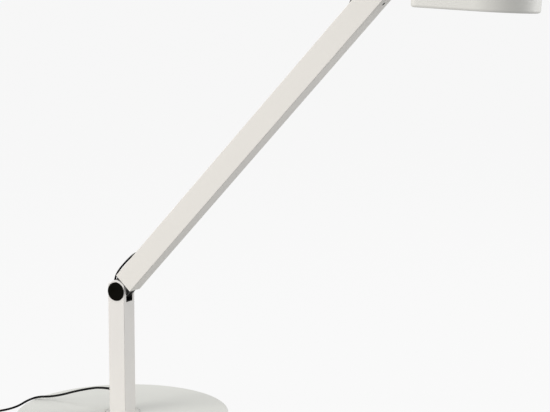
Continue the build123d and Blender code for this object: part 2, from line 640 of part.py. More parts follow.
def head_lid():
    """Top cover with the button's hole, its flange pocket and four screw bosses."""
    lid = slab(LID_REBATE + SLIP, LID_SEAT, HEAD_TOP)
    lid = chamfer(lid.faces().sort_by(Axis.Z)[-1].edges(), 0.3)
    for x, y in BOSS_PLACES:
        lid += rod(SCREW_BOSS_DIAMETER, LID_SEAT - SINK_TOP, (x, y, SINK_TOP))
        depth = HEAD_SCREW_LENGTH - BOARD_THICKNESS - SINK_THICKNESS + 1.6
        lid -= rod(HEAD_SCREW_DIAMETER + 2 * RUN_FIT, depth, (x, y, SINK_TOP))
    hole = BUTTON_DIAMETER + 2 * BUTTON_CLEARANCE
    return lid - rod(hole, 2 * LID_THICKNESS, (BUTTON_PLACE, 0, LID_SEAT - 1))


def head_neck():
    """Forked neck, screwed to the head's back from inside."""
    neck = NECK_TURN * fork_bar(NECK_LENGTH, 1, False)
    for y, z in NECK_SCREW_PLACES:
        neck -= rod(NECK_SCREW_DIAMETER + 2 * RUN_FIT, NECK_SCREW_GRIP + 2,
                    (NECK_LENGTH - NECK_SCREW_GRIP - 2, y, z), ALONG_X)
    return neck


def neck_screws():
    """Two cheese-head screws from inside the head."""
    inside = NECK_LENGTH + HEAD_WALL
    pieces = []
    for y, z in NECK_SCREW_PLACES:
        screw = rod(NECK_SCREW_HEAD, NECK_SCREW_HEAD_HEIGHT, (inside, y, z), ALONG_X)
        screw += rod(NECK_SCREW_DIAMETER, HEAD_WALL + NECK_SCREW_GRIP, (inside, y, z), (-1, 0, 0))
        drive = Plane(origin=(inside + NECK_SCREW_HEAD_HEIGHT / 2, y, z), z_dir=ALONG_X)
        screw -= drive * extrude(RegularPolygon(NECK_SCREW_DIAMETER * 0.43, 6), NECK_SCREW_HEAD_HEIGHT)
        pieces.append(screw)
    return pieces


def diffuser():
    """Opal sheet behind the rim."""
    sheet = slab(HEAD_WALL + 2 * SLIP, LIP_TOP, LIP_TOP + DIFFUSER_THICKNESS)
    raised = slab(LIP_WIDTH + 2 * SLIP, LIP_TOP - 1.6, LIP_TOP)
    return sheet + raised


def light_frame():
    """White wall that spaces the light board from the diffuser."""
    bottom = LIP_TOP + DIFFUSER_THICKNESS
    outside = HEAD_WALL + 2 * SLIP
    return slab(outside, bottom, FRAME_TOP) - slab(outside + FRAME_WALL, bottom, FRAME_TOP)


def led_board():
    """Round-nosed light board under the heat sink."""
    board = slab(HEAD_WALL + 2 * SLIP, FRAME_TOP, FRAME_TOP + BOARD_THICKNESS)
    for x, y in BOSS_PLACES:
        board -= rod(HEAD_SCREW_DIAMETER + HOLE_SLACK, BOARD_THICKNESS, (x, y, FRAME_TOP))
    return board


def leds():
    """Grid of light chips on the board's underside, clear of the screws."""
    centre = NECK_LENGTH + HEAD_LENGTH - HEAD_WIDTH / 2
    radius = HEAD_WIDTH / 2 - 3 * HEAD_WALL
    chips = []
    for i in range(8):
        for j in range(-3, 4):
            x, y = NECK_LENGTH + 14 + i * LED_PITCH, j * LED_PITCH * 0.9
            inside = abs(y) < radius and (x < centre or math.hypot(x - centre, y) < radius)
            clear = all(math.hypot(x - a, y - b) > 6 for a, b in BOSS_PLACES)
            if inside and clear:
                half = LED_SIZE / 2
                chips.append(block((x - half, y - half, FRAME_TOP - LED_HEIGHT),
                                   (x + half, y + half, FRAME_TOP)))
    return chips


def heat_sink():
    """Plate on the light board with fins across its front half."""
    bottom = FRAME_TOP + BOARD_THICKNESS
    sink = slab(HEAD_WALL + 2 * SLIP, bottom, SINK_TOP)
    for i in range(FIN_COUNT):
        y = (i - (FIN_COUNT - 1) / 2) * FIN_PITCH
        start = NECK_LENGTH + FIN_START
        sink += block((start, y - FIN_THICKNESS / 2, SINK_TOP - 0.5),
                      (start + FIN_LENGTH, y + FIN_THICKNESS / 2, SINK_TOP + FIN_HEIGHT))
    for x, y in BOSS_PLACES:
        sink -= rod(SCREW_BOSS_DIAMETER + 4 * SLIP, FIN_HEIGHT + 1, (x, y, SINK_TOP))
        sink -= rod(HEAD_SCREW_DIAMETER + HOLE_SLACK, 2 * SINK_THICKNESS, (x, y, bottom - 1))
    return sink


def head_screws():
    """Four screws through the light board and the heat sink into the lid's bosses."""
    pieces = []
    for x, y in BOSS_PLACES:
        screw = rod(HEAD_SCREW_HEAD, HEAD_SCREW_HEAD_HEIGHT, (x, y, FRAME_TOP), (0, 0, -1))
        screw += rod(HEAD_SCREW_DIAMETER, HEAD_SCREW_LENGTH, (x, y, FRAME_TOP))
        drive = Pos(x, y, FRAME_TOP - HEAD_SCREW_HEAD_HEIGHT)
        pieces.append(screw - drive * extrude(RegularPolygon(HEAD_SCREW_DIAMETER * 0.4, 6), 1))
    return pieces


def control_board():
    """Dimmer board on the heat sink's pillars, with its larger components."""
    x0 = NECK_LENGTH + HEAD_WALL + CONTROL_AT
    half = CONTROL_WIDTH / 2
    board = block((x0, -half, CONTROL_LEVEL), (x0 + CONTROL_LENGTH, half, CONTROL_TOP))
    board += block((x0 + 30, -22, CONTROL_TOP), (x0 + 42, -12, CONTROL_TOP + 5))
    board += rod(8, 7, (x0 + 34, 16, CONTROL_TOP))
    board += block((x0 + 8, 14, CONTROL_TOP), (x0 + 16, 22, CONTROL_TOP + 2.5))
    for x in (x0 + 5, x0 + CONTROL_LENGTH - 5):
        for y in (-half + 5, half - 5):
            board += rod(5, CONTROL_LEVEL - SINK_TOP, (x, y, SINK_TOP))
    return board


def switch_body():
    """Small push switch on the control board."""
    half = SWITCH_SIZE / 2
    shoulder = SWITCH_TOP - SWITCH_PLUNGER
    body = block((BUTTON_PLACE - half, -half, CONTROL_TOP), (BUTTON_PLACE + half, half, shoulder))
    return body + rod(SWITCH_SIZE / 2, SWITCH_PLUNGER, (BUTTON_PLACE, 0, shoulder))


def switch_button():
    """Push button in the lid, with the flange that keeps it in."""
    height = HEAD_TOP + BUTTON_PROUD - BUTTON_SOLE
    button = rod(BUTTON_DIAMETER, height, (BUTTON_PLACE, 0, BUTTON_SOLE))
    button = fillet(button.edges().filter_by(GeomType.CIRCLE).sort_by(Axis.Z)[-1], 0.8)
    flange_top = LID_SEAT - 0.3
    button += rod(BUTTON_FLANGE_DIAMETER, BUTTON_FLANGE_THICKNESS,
                  (BUTTON_PLACE, 0, flange_top - BUTTON_FLANGE_THICKNESS))
    return button


def button_spring():
    """Return spring around the switch, drawn as the sleeve that its turns fill."""
    outer = SWITCH_SIZE * 1.5 + 2 * SPRING_WIRE + 0.6
    return washer(outer, outer - 2 * SPRING_WIRE, BUTTON_SOLE - CONTROL_TOP,
                  (BUTTON_PLACE, 0, CONTROL_TOP))


# ---- supply cord, coil, tie and plug-in driver -----------------------------------------------
def cord_coil():
    """Outer shape of the coil: full layers, and the outer two turns once more on top."""
    radius = CORD_DIAMETER / 2
    low, middle, high = COIL_RADII[0] - radius, COIL_RADII[1] - radius, COIL_RADII[-1] + radius
    layers = COIL_LAYERS * CORD_DIAMETER
    coil = washer(2 * high, 2 * low, layers, (*COIL_CENTRE, TIE_THICKNESS))
    top = (*COIL_CENTRE, TIE_THICKNESS + layers)
    return coil + washer(2 * high, 2 * middle, CORD_DIAMETER, top)


def cord_tie():
    """Soft strap around one side of the coil."""
    radius, half = CORD_DIAMETER / 2, TIE_WIDTH / 2
    x, y = COIL_CENTRE
    y0 = y + math.sqrt((COIL_RADII[0] - radius)**2 - half**2) - 2 * TIE_ROOM
    y1 = y + COIL_RADII[-1] + radius + 2 * TIE_ROOM
    top = TIE_THICKNESS + (COIL_LAYERS + 1) * CORD_DIAMETER + TIE_ROOM
    outer = block((x - half, y0 - TIE_THICKNESS, 0), (x + half, y1 + TIE_THICKNESS, top + TIE_THICKNESS))
    outer = fillet(outer.edges().filter_by(Axis.X), 2 * TIE_THICKNESS)
    inner = block((x - half, y0, TIE_THICKNESS), (x + half, y1, top))
    return outer - fillet(inner.edges().filter_by(Axis.X), TIE_ROOM)


def driver_start():
    """Where the tail ends and the driver's strain relief begins."""
    return Vector(*TAIL_ROUTE[-1])


def plug_relief():
    """Tapered strain relief of the plug-in driver."""
    tip = driver_start()
    start = tip + Vector(*TAIL_END_DIRECTION) * RELIEF_LENGTH
    return taper(RELIEF_BIG_DIAMETER, RELIEF_TIP_DIAMETER, RELIEF_LENGTH, start, ALONG_X)


def plug_case():
    """Plug-in driver lying on its side."""
    start = driver_start() + Vector(*TAIL_END_DIRECTION) * RELIEF_LENGTH
    half = DRIVER_WIDTH / 2
    low = Vector(start.X - DRIVER_LENGTH, start.Y - half, 0)
    high = Vector(start.X, start.Y + half, DRIVER_HEIGHT)
    case = fillet(block(low, high).edges(), DRIVER_EDGE)
    seam_low = Vector(low.X, low.Y, DRIVER_HEIGHT / 2 - SEAM_WIDTH / 2)
    seam_high = Vector(high.X, high.Y, DRIVER_HEIGHT / 2 + SEAM_WIDTH / 2)
    inset = Vector(SEAM_DEPTH, SEAM_DEPTH, 0)
    core = block(seam_low + inset, seam_high - inset)
    core = fillet(core.edges().filter_by(Axis.Z), DRIVER_EDGE - SEAM_DEPTH)
    case -= block(seam_low, seam_high) - core
    for side in (-1, 1):
        case -= rod(PIN_DIAMETER + SLIP, 4, (start.X - DRIVER_LENGTH, start.Y + side * PIN_SPREAD / 2,
                                             DRIVER_HEIGHT / 2), ALONG_X)
    return case


def plug_pins():
    """Two round pins."""
    start = driver_start() + Vector(*TAIL_END_DIRECTION) * RELIEF_LENGTH
    end = start.X - DRIVER_LENGTH
    pieces = []
    for side in (-1, 1):
        place = (end + 3.8, start.Y + side * PIN_SPREAD / 2, DRIVER_HEIGHT / 2)
        pin = rod(PIN_DIAMETER, PIN_LENGTH + 3.8, place, (-1, 0, 0))
        pieces.append(fillet(pin.edges().filter_by(GeomType.CIRCLE).sort_by(Axis.X)[0], 1.2))
    return pieces


# ---- all pieces ------------------------------------------------------------------------------
def build():
    """Every node by name."""
    nodes = {
        "base_plate": base_plate(),
        "base_pad": base_pad(),
        "swivel_bush": swivel_bush(),
        "thrust_washer": thrust_washer(),
        "swivel_foot": swivel_foot(),
        "swivel_stop_pin": swivel_stop_pin(),
        "swivel_wave_washer": swivel_wave_washer(),
        "swivel_nut": swivel_nut(),
        "foot_screws": foot_screws(),
        "post_tube": post_tube(),
        "post_lead": post_lead(),
        "cord_gland": cord_gland(),
        "lower_lead": lower_lead(),
        "supply_cord": cable(CORD_ROUTE, CORD_DIAMETER, "supply cord"),
        "cord_coil": cord_coil(),
        "cord_tail": cable(TAIL_ROUTE, CORD_DIAMETER, "cord tail"),
        "cord_tie": cord_tie(),
        "plug_relief": plug_relief(),
        "plug_case": plug_case(),
        "plug_pins": plug_pins(),
        "upper_lead": upper_lead(),
        "lower_fork_liner": FORK_FRAME * fork_liner(-1),
        "upper_fork_liner": HEAD_FRAME * NECK_TURN * fork_liner(1),
        "arm_lead": arm_lead(),
        "head_lead": head_lead(),
    }
    nodes.update(pivot_hardware("lower", FORK_FRAME))
    nodes.update(pivot_hardware("upper", HEAD_FRAME))
    flip = Location((ARM_PIVOTS, 0, 0), (0, 0, 180))
    arm_pieces = {
        "arm_tube": arm_tube(),
        "arm_end_screws": arm_end_screws(),
        "arm_grommets": arm_grommets(),
        "lower_tongue": tongue(LOWER_SCREW_AT, 1),
        "upper_tongue": flip * tongue(UPPER_SCREW_AT, -1),
        "lower_pivot_bush": pivot_bush(),
        "upper_pivot_bush": flip * pivot_bush(),
    }
    head_pieces = {
        "head_neck": head_neck(),
        "neck_screws": neck_screws(),
        "head_shell": head_shell(),
        "head_lid": head_lid(),
        "diffuser": diffuser(),
        "light_frame": light_frame(),
        "led_board": led_board(),
        "leds": leds(),
        "heat_sink": heat_sink(),
        "head_screws": head_screws(),
        "control_board": control_board(),
        "switch_body": switch_body(),
        "switch_button": switch_button(),
        "button_spring": button_spring(),
    }
    nodes.update({name: moved(ARM_FRAME, shape) for name, shape in arm_pieces.items()})
    nodes.update({name: moved(HEAD_FRAME, shape) for name, shape in head_pieces.items()})
    return nodes


def main():
    """Write one STEP file for each node."""
    os.makedirs("parts", exist_ok=True)
    nodes = build()
    for name, shape in nodes.items():
        whole = Compound(children=shape) if isinstance(shape, list) else shape
        export_step(whole, f"parts/{name}.step")
    print(len(nodes), "nodes; upper pivot", UPPER_PIVOT.position)


main()
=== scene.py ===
"""Looks of the adjustable arm lamp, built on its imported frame.

Metres, +Z up, origin at the centre of the base's underside.
"""

import json
import math

import bmesh
import bpy
from mathutils import Matrix, Quaternion, Vector


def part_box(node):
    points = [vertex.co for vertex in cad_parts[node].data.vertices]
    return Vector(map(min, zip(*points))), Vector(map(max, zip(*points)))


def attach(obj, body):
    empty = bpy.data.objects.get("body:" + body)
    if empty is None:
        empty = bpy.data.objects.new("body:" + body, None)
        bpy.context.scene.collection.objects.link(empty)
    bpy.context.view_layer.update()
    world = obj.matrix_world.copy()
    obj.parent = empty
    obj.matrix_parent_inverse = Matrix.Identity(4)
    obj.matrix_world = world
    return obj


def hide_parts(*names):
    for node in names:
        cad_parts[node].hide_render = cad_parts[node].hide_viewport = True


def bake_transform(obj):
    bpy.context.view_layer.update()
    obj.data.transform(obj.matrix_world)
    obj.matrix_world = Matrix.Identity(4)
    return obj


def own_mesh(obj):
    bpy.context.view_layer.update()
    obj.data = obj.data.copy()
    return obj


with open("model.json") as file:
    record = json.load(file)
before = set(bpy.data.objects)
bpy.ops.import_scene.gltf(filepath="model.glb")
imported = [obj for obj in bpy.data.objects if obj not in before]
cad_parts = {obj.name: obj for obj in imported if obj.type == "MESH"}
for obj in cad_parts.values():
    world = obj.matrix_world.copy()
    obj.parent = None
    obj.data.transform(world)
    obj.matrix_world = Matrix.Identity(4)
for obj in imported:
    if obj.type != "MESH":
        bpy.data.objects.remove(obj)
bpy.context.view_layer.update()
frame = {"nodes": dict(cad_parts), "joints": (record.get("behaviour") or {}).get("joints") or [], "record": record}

# ---- frame: pivots and directions ------------------------------------------------------------
JOINTS = {joint["name"]: joint for joint in frame["joints"]}
LOWER_PIVOT = Vector(JOINTS["arm_tilt"]["pos_m"])
UPPER_PIVOT = Vector(JOINTS["head_tilt"]["pos_m"])
ARM_ALONG = (UPPER_PIVOT - LOWER_PIVOT).normalized()
ARM_UP = Vector((-ARM_ALONG.z, 0, ARM_ALONG.x))
HEAD_UP = -Vector(JOINTS["switch_press"]["axis"])
HEAD_ALONG = Vector((HEAD_UP.z, 0, -HEAD_UP.x))
POST_UP = Vector((0, 0, 1))
POST_ALONG = Vector((1, 0, 0))
SLOT_OF = {part["node"]: part["material_slot"] for part in frame["record"]["subparts"]}

# ---- cables: the same sizes and routes as the design -----------------------------------------
CORD_DIAMETER = 0.003
LEAD_DIAMETER = 0.0026
CORD_ROUTE = [
    (-0.0205, 0.0, 0.0405),
    (-0.036, 0.0, 0.0402),
    (-0.054, 0.0, 0.036),
    (-0.075, -0.0005, 0.030),
    (-0.097, 0.0, 0.0222),
    (-0.117, -0.001, 0.017),
    (-0.133, -0.0055, 0.0162),
    (-0.1465, -0.011, 0.0108),
    (-0.156, -0.0195, 0.0036),
    (-0.1615, -0.031, 0.0016),
    (-0.1665, -0.044, 0.0016),
    (-0.1745, -0.057, 0.0016),
    (-0.184, -0.0705, 0.0016),
    (-0.1915, -0.086, 0.0016),
]
COIL_CENTRE = Vector((-0.216, -0.106, 0.0))
COIL_RADII = (0.015, 0.018, 0.021)
COIL_LAYERS = 4
COIL_FLOOR = 0.0008
COIL_ENTRY = 4.0             # degrees from +X
COIL_EXIT = 104.0            # degrees of the last turn before the tail leaves
COIL_POINTS = 16             # points in one turn
SHIFT_AT, SHIFT_OVER = 0.78, 0.10           # share of a turn at which it changes its radius
CLIMB_AT, CLIMB_OVER = 0.88, 0.12           # and at which it climbs to the next layer
LAST_SHIFT_AT, LAST_CLIMB_AT = 0.90, 0.66   # the same on the way to the top layer
TAIL_ROUTE = [
    (-0.231, -0.1256, 0.0144),
    (-0.2425, -0.1266, 0.0120),
    (-0.253, -0.1286, 0.0118),
    (-0.264, -0.130, 0.0135),
]
LEAD_IN_FORK = [(-0.0096, -0.0136), (-0.0108, -0.0045), (-0.0106, 0.0065)]
LEAD_OVER_ARM = [(0.0074, 0.0185), (0.0185, 0.0203), (0.0295, 0.0204), (0.0405, 0.0199),
                 (0.0495, 0.0187), (0.055, 0.0169)]
LEAD_END = (0.0566, 0.0140)  # inside the arm's grommet
GLAND_FACE = (-0.0137, 0.0, 0.0405)
GLAND_CONE = (0.0066, 0.00576, 0.0044)      # length, diameter at the root, diameter at the tip
PLUG_CONE = (0.0138, 0.0070, 0.0044)
RIB_HEIGHT = 0.0003
RIB_STEEPNESS = 1.6          # above 1, a rib's top is flat
RIB_SAMPLES = 16             # sections along one rib
RIB_SIDES = 32
GLAND_RIBS, PLUG_RIBS = 4, 7

# ---- button spring ---------------------------------------------------------------------------
SPRING_WIRE = 0.0007
SPRING_RADIUS = 0.00515
SPRING_HEIGHT = 0.0055
SPRING_TURNS = 4.25
SPRING_STEPS = 28            # points in one turn
WIRE_SIDES = 10

# ---- stitches of the strap -------------------------------------------------------------------
STITCH_LENGTH = 0.0009
STITCH_PITCH = 0.0014
STITCH_COUNT = 9
THREAD_RADIUS = 0.00022
ROW_SPREAD = 0.38            # of the strap's width, from its middle to a row
THREAD_SINK = 0.00004        # how far the thread's middle lies under the strap's top

# ---- camera, light and floor -----------------------------------------------------------------
CAMERA_PLACE = (1.0757, -1.6277, 0.5674)
CAMERA_AZIMUTH = 27.54
CAMERA_ELEVATION = 8.20
CAMERA_ROLL = 0.18
CAMERA_LENS = 98.7
CAMERA_SENSOR = 36.0
CAMERA_REACH = 1000.0        # far enough for the floor's edge
FLOOR_SIZE = 400.0
FLOOR_SEEN = 0.915           # floor's own brightness to the camera
FLOOR_GLOW = 0.54            # and the light it throws on the lamp
FLOOR_DROP = 0.0002          # from the base pad down to the floor
ROOM_LIGHT = 0.46
LAMP_MIDDLE = Vector((0.2, 0.0, 0.3))


# ---- node trees ------------------------------------------------------------------------------
class Shade:
    """An output in a node tree; its operators add Math nodes to the tree."""

    def __init__(self, graph, socket):
        self.graph, self.socket = graph, socket

    def __add__(self, other):
        return self.graph.maths("ADD", self, other)

    def __sub__(self, other):
        return self.graph.maths("SUBTRACT", self, other)

    def __rsub__(self, other):
        return self.graph.maths("SUBTRACT", other, self)

    def __mul__(self, other):
        return self.graph.maths("MULTIPLY", self, other)

    def __gt__(self, other):
        return self.graph.maths("GREATER_THAN", self, other)

    __radd__ = __add__
    __rmul__ = __mul__


class Graph:
    """A node tree written in code."""

    def __init__(self, tree):
        self.tree = tree

    def node(self, kind, settings=(), sockets=(), output=0):
        """Any node: its settings first, then the values or links of its sockets."""
        node = self.tree.nodes.new(kind)
        for key, value in dict(settings).items():
            setattr(node, key, value)
        for key, value in dict(sockets).items():
            self.join(node.inputs[key], value)
        return Shade(self, node.outputs[output])

    def maths(self, operation, *values):
        """A Math node on values or links."""
        return self.node("ShaderNodeMath", {"operation": operation}, dict(enumerate(values)))

    def join(self, socket, value):
        """Links a shade to a socket, or sets the socket's value."""
        if isinstance(value, Shade):
            self.tree.links.new(value.socket, socket)
        else:
            socket.default_value = value


class Finish(Graph):
    """A material built from one shader and the nodes that feed it."""

    def __init__(self, name, **constants):
        self.material = bpy.data.materials.new(name)
        self.material.use_nodes = True
        super().__init__(self.material.node_tree)
        self.shader = self.tree.nodes["Principled BSDF"]
        self.coordinates = self.node("ShaderNodeTexCoord", output="Object")
        for socket, value in constants.items():
            self.put(socket.replace("_", " "), value)

    def put(self, socket, value):
        """Sets or links a socket of the material's own shader."""
        self.join(self.shader.inputs[socket], value)

    def place(self, stretch=(1, 1, 1), turn=(0, 0, 0)):
        """Object coordinates, turned and stretched."""
        return self.node("ShaderNodeMapping", {},
                         {"Vector": self.coordinates, "Scale": stretch, "Rotation": turn})

    def noise(self, size, detail=2.0, stretch=(1, 1, 1), turn=(0, 0, 0)):
        """Soft noise from 0 to 1, with blotches of about that size in metres."""
        return self.node("ShaderNodeTexNoise", {},
                         {"Vector": self.place(stretch, turn), "Scale": 1 / size, "Detail": detail})

    def cells(self, size, feature="F1", stretch=(1, 1, 1)):
        """Distance inside cells of about that size in metres."""
        return self.node("ShaderNodeTexVoronoi", {"feature": feature},
                         {"Vector": self.place(stretch), "Scale": 1 / size})

    def waves(self, pitch, direction="X", turn=(0, 0, 0)):
        """Sine ridges of that pitch in metres."""
        return self.node("ShaderNodeTexWave", {"bands_direction": direction},
                         {"Vector": self.place(turn=turn), "Scale": math.pi / 10 / pitch})

    def mix(self, first, second, share):
        """Colour between two colours."""
        colours = {6: opaque(first), 7: opaque(second), 0: share}
        return self.node("ShaderNodeMix", {"data_type": "RGBA"}, colours, 2)

    def relief(self, height, depth):
        """Bumps of that depth in metres, into the shader's normal."""
        bumps = {"Height": height, "Distance": depth, "Strength": 1.0}
        self.put("Normal", self.node("ShaderNodeBump", {}, bumps))


def opaque(colour):
    """A colour with full alpha; a shade stays as it is."""
    return colour if isinstance(colour, Shade) else (*colour[:3], 1.0)


# ---- finishes --------------------------------------------------------------------------------
def powder_coat(name, colour, peel=0.0011):
    """Baked powder coat: soft orange peel, a faint cloudiness and a satin sheen."""
    coat = Finish(name, Specular_IOR_Level=0.4)
    cloud = coat.noise(0.05, 3.0)
    peel_bumps = coat.noise(peel, 2.0)
    fleck = coat.noise(peel / 3, 1.0)
    deeper = [0.975 * c for c in colour]
    coat.put("Base Color", coat.mix(colour, deeper, cloud * 0.7 + fleck * 0.3))
    coat.put("Roughness", 0.46 + cloud * 0.05 + peel_bumps * 0.04)
    coat.relief(peel_bumps * 0.75 + fleck * 0.25, 0.000005)
    return coat


def moulded(name, colour, texture=0.0004, roughness=0.42, depth=0.00003, shine=0.5):
    """Moulded plastic with a spark-eroded texture and a little wax bloom."""
    plastic = Finish(name, Specular_IOR_Level=shine)
    pits = plastic.cells(texture)
    bloom = plastic.noise(0.012, 3.0)
    paler = [min(1.0, 1.18 * c + 0.004) for c in colour]
    plastic.put("Base Color", plastic.mix(colour, paler, bloom * 0.8))
    plastic.put("Roughness", roughness + 0.14 * (bloom - 0.5) + 0.08 * pits)
    plastic.relief(pits, depth)
    return plastic


def sheath(name, colour, shine=0.06):
    """Soft cable sheath: matt, with fine drag lines and dust-pale rubs."""
    soft = Finish(name, Specular_IOR_Level=shine)
    drag = soft.noise(0.0009, 3.0)
    rub = soft.noise(0.016, 3.0)
    paler = [1.5 * c + 0.002 for c in colour]
    soft.put("Base Color", soft.mix(colour, paler, rub * rub))
    soft.put("Roughness", 0.46 + 0.16 * rub + 0.06 * drag)
    soft.relief(drag, 0.00004)
    return soft


def turned_metal(name, colour, roughness, axis_stretch=(1, 1, 1), line=0.0005):
    """Machined or plated metal with tool lines and slightly uneven shine."""
    metal = Finish(name, Metallic=1.0)
    lines = metal.noise(line, 2.0, axis_stretch)
    stain = metal.noise(0.006, 3.0)
    deeper = [0.8 * c for c in colour]
    metal.put("Base Color", metal.mix(colour, deeper, stain * 0.6 + lines * 0.2))
    metal.put("Roughness", roughness + 0.12 * (stain - 0.5) + 0.08 * lines)
    metal.relief(lines, 0.00001)
    return metal


def felted(name, colour):
    """Pressed fibre pad."""
    felt = Finish(name, Sheen_Weight=0.35, Sheen_Roughness=0.6)
    fibres = felt.noise(0.0007, 4.0, (1.0, 2.6, 1.0))
    crossing = felt.noise(0.0007, 4.0, (2.6, 1.0, 1.0), (0, 0, 0.6))
    tangle = fibres * 0.5 + crossing * 0.5
    felt.put("Base Color", felt.mix(colour, [2.4 * c for c in colour], tangle))
    felt.put("Roughness", 0.85 + 0.1 * tangle)
    felt.relief(tangle, 0.0004)
    return felt


def woven(name, colour, pitch=0.0007):
    """Narrow woven strap."""
    strap = Finish(name, Sheen_Weight=0.2)
    warp = strap.waves(pitch, "X")
    weft = strap.waves(pitch, "DIAGONAL", (0.2, 0.0, 0.4))
    weave = warp * weft
    fuzz = strap.noise(0.0004, 2.0)
    strap.put("Base Color", strap.mix(colour, [3.0 * c for c in colour], weave * 0.7 + fuzz * 0.3))
    strap.put("Roughness", 0.78 + 0.12 * fuzz)
    strap.relief(weave + fuzz * 0.3, 0.0002)
    return strap


def opal_sheet(name):
    """Milky light-spreading plastic."""
    opal = Finish(name, Subsurface_Weight=0.25, Subsurface_Scale=0.004, IOR=1.49)
    haze = opal.noise(0.03, 3.0)
    prisms = opal.cells(0.0006)
    opal.put("Base Color", opal.mix((0.86, 0.86, 0.84), (0.80, 0.80, 0.79), haze))
    opal.put("Roughness", 0.30 + 0.10 * haze + 0.06 * prisms)
    opal.relief(prisms, 0.00002)
    return opal


def circuit_board(name, mask, trace):
    """Board under its solder mask, with the tracks showing faintly through it."""
    board = Finish(name)
    tracks = board.cells(0.004, "DISTANCE_TO_EDGE", (1, 0.35, 1)) > 0.08
    weave = board.noise(0.0005, 1.0)
    board.put("Base Color", board.mix(trace, mask, tracks * (0.85 + 0.15 * weave)))
    board.put("Roughness", 0.28 + 0.12 * weave)
    board.relief(1 - tracks, 0.00005)
    return board


def phosphor(name):
    """Light chip: yellow phosphor in silicone over a pale case."""
    chip = Finish(name, Coat_Roughness=0.1)
    grains = chip.noise(0.0002, 2.0)
    chip.put("Base Color", chip.mix((0.86, 0.66, 0.12), (0.93, 0.83, 0.42), grains))
    chip.put("Roughness", 0.25 + 0.2 * grains)
    chip.put("Coat Weight", 0.4 + 0.3 * grains)
    return chip


WARM_WHITE = (0.66, 0.643, 0.622)
FINISHES = {
    "base_paint": powder_coat("base_paint", (0.67, 0.675, 0.645), 0.0010),
    "tube_paint": powder_coat("tube_paint", WARM_WHITE),
    "arm_paint": powder_coat("arm_paint", (0.655, 0.638, 0.606)),
    "head_paint": powder_coat("head_paint", (0.64, 0.635, 0.605)),
    "pad_felt": felted("pad_felt", (0.016, 0.016, 0.016)),
    "bearing_plastic": moulded("bearing_plastic", (0.74, 0.73, 0.70), 0.0008, 0.38),
    "bronze": turned_metal("bronze", (0.52, 0.34, 0.15), 0.34, (1, 6, 1)),
    "steel": turned_metal("steel", (0.50, 0.50, 0.51), 0.30, (1, 5, 1)),
    "dark_steel": turned_metal("dark_steel", (0.035, 0.035, 0.037), 0.42),
    "nickel": turned_metal("nickel", (0.66, 0.63, 0.58), 0.18, (6, 1, 1)),
    "cable_black": sheath("cable_black", (0.005, 0.005, 0.005)),
    "rubber_black": sheath("rubber_black", (0.012, 0.012, 0.012)),
    "tie_fabric": woven("tie_fabric", (0.016, 0.016, 0.018)),
    "tongue_black": moulded("tongue_black", (0.012, 0.012, 0.011), 0.0006, 0.5, 0.00004, 0.3),
    "cap_plastic": moulded("cap_plastic", (0.0030, 0.0028, 0.0018), 0.0005, 0.5, 0.00002, 0.0),
    "plug_plastic": moulded("plug_plastic", (0.010, 0.010, 0.011), 0.0006, 0.44, 0.00004, 0.35),
    "opal": opal_sheet("opal"),
    "white_plastic": moulded("white_plastic", (0.78, 0.78, 0.77), 0.0007, 0.5),
    "board_white": circuit_board("board_white", (0.80, 0.80, 0.78), (0.66, 0.64, 0.58)),
    "led_yellow": phosphor("led_yellow"),
    "raw_aluminium": turned_metal("raw_aluminium", (0.66, 0.66, 0.68), 0.36, (1, 9, 9), 0.0009),
    "board_green": circuit_board("board_green", (0.008, 0.075, 0.030), (0.02, 0.15, 0.06)),
    "button_plastic": moulded("button_plastic", (0.62, 0.61, 0.585), 0.0005, 0.4),
}


def material(slot):
    """Blender material of a slot."""
    return FINISHES[slot].material


def finish_cad_nodes():
    """Gives every node of the frame the finish of its slot."""
    for name, node in frame["nodes"].items():
        node.data.materials.clear()
        node.data.materials.append(material(SLOT_OF[name]))


# ---- cables ----------------------------------------------------------------------------------
def route_curve(name, points):
    """Smooth curve with those control points."""
    curve = bpy.data.curves.new(name, "CURVE")
    curve.dimensions = "3D"
    spline = curve.splines.new("NURBS")
    spline.points.add(len(points) - 1)
    for point, place in zip(spline.points, points):
        point.co = (*place, 1.0)
    spline.order_u = 3
    spline.use_endpoint_u = True
    spline.resolution_u = 6
    piece = bpy.data.objects.new(name, curve)
    bpy.context.scene.collection.objects.link(piece)
    return piece


def line_of(points):
    """Points read from the smooth curve through a route."""
    guide = route_curve("guide", points)
    bpy.context.view_layer.update()
    mesh = bpy.data.meshes.new_from_object(guide)
    line = [vertex.co.copy() for vertex in mesh.vertices]
    bpy.data.meshes.remove(mesh)
    bpy.data.objects.remove(guide)
    return line


def length_of(line):
    """Length along a line's points."""
    return sum((b - a).length for a, b in zip(line, line[1:]))


def smooth_step(share):
    """Eases from 0 to 1, and stays at either end."""
    share = min(max(share, 0.0), 1.0)
    return share * share * (3 - 2 * share)


def coil_turns():
    """Clockwise turns: layers that wind in and out, then the outer two once more on top."""
    radius = CORD_DIAMETER / 2
    turns = []
    for layer in range(COIL_LAYERS):
        height = COIL_FLOOR + radius + layer * CORD_DIAMETER
        radii = COIL_RADII if layer % 2 else tuple(reversed(COIL_RADII))
        turns += [(r, height) for r in radii]
    top = COIL_FLOOR + radius + COIL_LAYERS * CORD_DIAMETER
    return turns + [(COIL_RADII[1], top), (COIL_RADII[2], top)]


